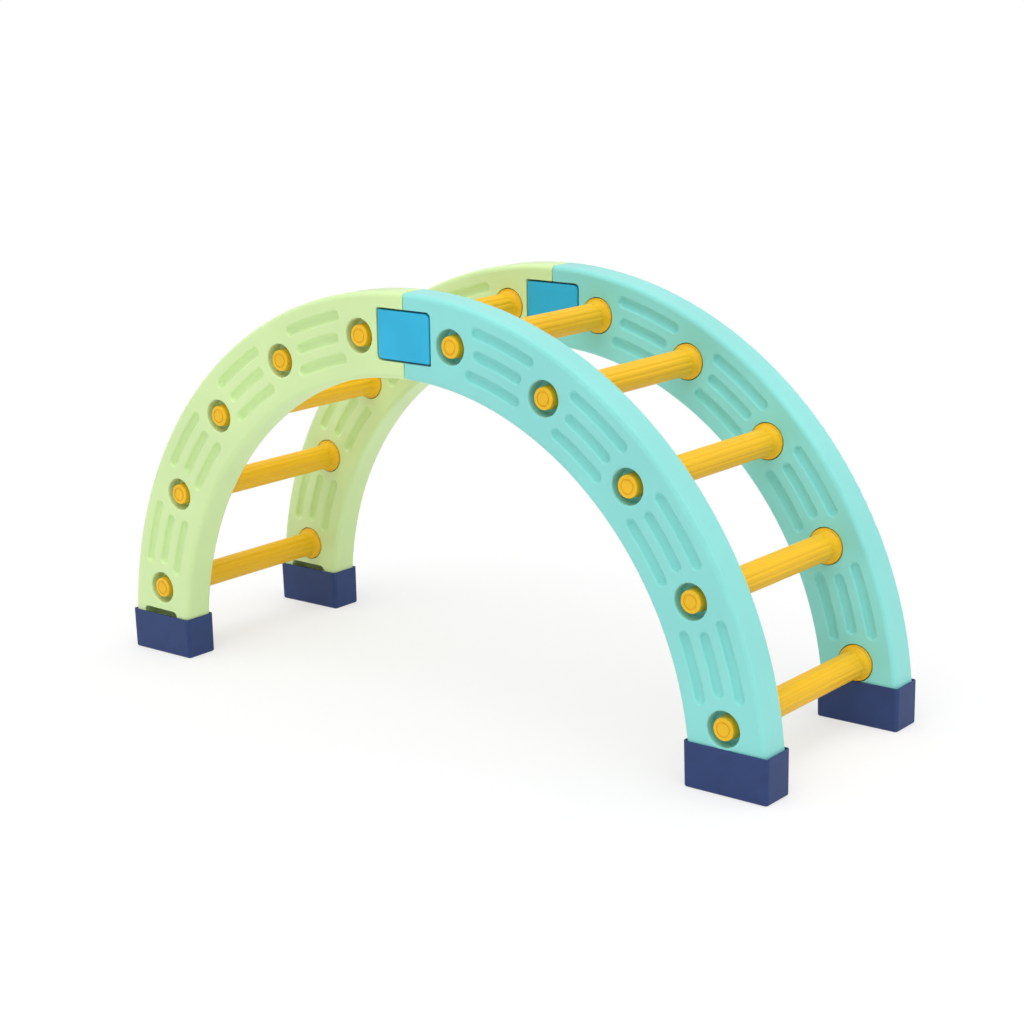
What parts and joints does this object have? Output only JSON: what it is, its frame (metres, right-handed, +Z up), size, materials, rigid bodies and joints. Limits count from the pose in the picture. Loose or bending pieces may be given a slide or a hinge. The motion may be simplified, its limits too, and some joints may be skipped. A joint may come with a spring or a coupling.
{
  "type": "climbing arch",
  "caption": "Low climbing arch for small children: two quarter-circle ladders with round rungs, keyed together at the crown and standing in pull-off boots.",
  "frame": {"origin": "on the floor, under the middle of the arch's length and width", "axes": "+X along the arch's length towards the teal quarter, +Y across its width from the front rails to the back rails, along the rungs, +Z up"},
  "size_m": [1.1236, 0.363, 0.5733],
  "materials": {
    "green_plastic": "light lime green moulded polyethylene, satin with a very fine grain",
    "teal_plastic": "pale teal moulded polyethylene, satin with a very fine grain",
    "yellow_plastic": "warm yellow moulded plastic, satin",
    "blue_plastic": "bright sky blue moulded plastic, satin",
    "navy_plastic": "dark navy soft plastic, satin"
  },
  "bodies": {
    "green_quarter": {"green_front_rail": "green_plastic", "green_back_rail": "green_plastic", "green_rung_1": "yellow_plastic", "green_rung_2": "yellow_plastic", "green_rung_3": "yellow_plastic", "green_rung_4": "yellow_plastic", "green_rung_5": "yellow_plastic", "green_front_screw_1": "yellow_plastic", "green_front_screw_2": "yellow_plastic", "green_front_screw_3": "yellow_plastic", "green_front_screw_4": "yellow_plastic", "green_front_screw_5": "yellow_plastic", "green_back_screw_1": "yellow_plastic", "green_back_screw_2": "yellow_plastic", "green_back_screw_3": "yellow_plastic", "green_back_screw_4": "yellow_plastic", "green_back_screw_5": "yellow_plastic"},
    "crown_keys": {"front_crown_key": "blue_plastic", "back_crown_key": "blue_plastic"},
    "teal_quarter": {"teal_front_rail": "teal_plastic", "teal_back_rail": "teal_plastic", "teal_rung_1": "yellow_plastic", "teal_rung_2": "yellow_plastic", "teal_rung_3": "yellow_plastic", "teal_rung_4": "yellow_plastic", "teal_rung_5": "yellow_plastic", "teal_front_screw_1": "yellow_plastic", "teal_front_screw_2": "yellow_plastic", "teal_front_screw_3": "yellow_plastic", "teal_front_screw_4": "yellow_plastic", "teal_front_screw_5": "yellow_plastic", "teal_back_screw_1": "yellow_plastic", "teal_back_screw_2": "yellow_plastic", "teal_back_screw_3": "yellow_plastic", "teal_back_screw_4": "yellow_plastic", "teal_back_screw_5": "yellow_plastic"},
    "green_front_boot": {"green_front_boot": "navy_plastic"},
    "green_back_boot": {"green_back_boot": "navy_plastic"},
    "teal_front_boot": {"teal_front_boot": "navy_plastic"},
    "teal_back_boot": {"teal_back_boot": "navy_plastic"}
  },
  "joints": [
    {"name": "green_crown_slide", "type": "slide", "parent": "green_quarter", "child": "crown_keys", "axis": [0.9998, 0, -0.0177], "range_m": [0, 0.047]},
    {"name": "teal_crown_slide", "type": "slide", "parent": "crown_keys", "child": "teal_quarter", "axis": [0.9998, 0, -0.0177], "range_m": [0, 0.047]},
    {"name": "green_front_boot_slide", "type": "slide", "parent": "green_quarter", "child": "green_front_boot", "axis": [0, 0, -1], "range_m": [0, 0.037]},
    {"name": "green_back_boot_slide", "type": "slide", "parent": "green_quarter", "child": "green_back_boot", "axis": [0, 0, -1], "range_m": [0, 0.037]},
    {"name": "teal_front_boot_slide", "type": "slide", "parent": "teal_quarter", "child": "teal_front_boot", "axis": [0, 0, -1], "range_m": [0, 0.055]},
    {"name": "teal_back_boot_slide", "type": "slide", "parent": "teal_quarter", "child": "teal_back_boot", "axis": [0, 0, -1], "range_m": [0, 0.055]}
  ]
}
